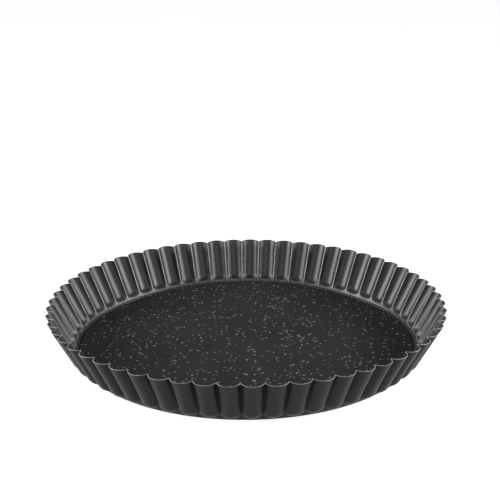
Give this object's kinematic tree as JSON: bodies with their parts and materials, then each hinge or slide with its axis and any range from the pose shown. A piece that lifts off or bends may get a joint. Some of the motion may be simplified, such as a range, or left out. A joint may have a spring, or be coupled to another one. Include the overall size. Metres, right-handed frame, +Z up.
{
  "type": "tart pan",
  "caption": "Round fluted tart pan: a flared ring with sharp-ridged flutes and an inward flange, and a loose flat base that lifts straight out to release the tart.",
  "frame": {"origin": "on the pan's axis, at the centre of the circle it stands on (underside of the ring's flange)", "axes": "+Z up, from the flange towards the rim; X and Y lie in the plane it stands on, and a ridge between two flutes lies on +X"},
  "size_m": [0.2798, 0.2798, 0.032],
  "materials": {
    "ring_coating": "satin black non-stick coating on pressed carbon steel",
    "flecked_coating": "matt charcoal non-stick coating with fine pale flecks, on flat carbon steel"
  },
  "bodies": {
    "ring": {"fluted_ring": "ring_coating"},
    "base": {"base_plate": "flecked_coating"}
  },
  "joints": [
    {"name": "base_lift", "type": "slide", "parent": "ring", "child": "base", "axis": [0, 0, 1], "range_m": [0, 0.092]}
  ]
}
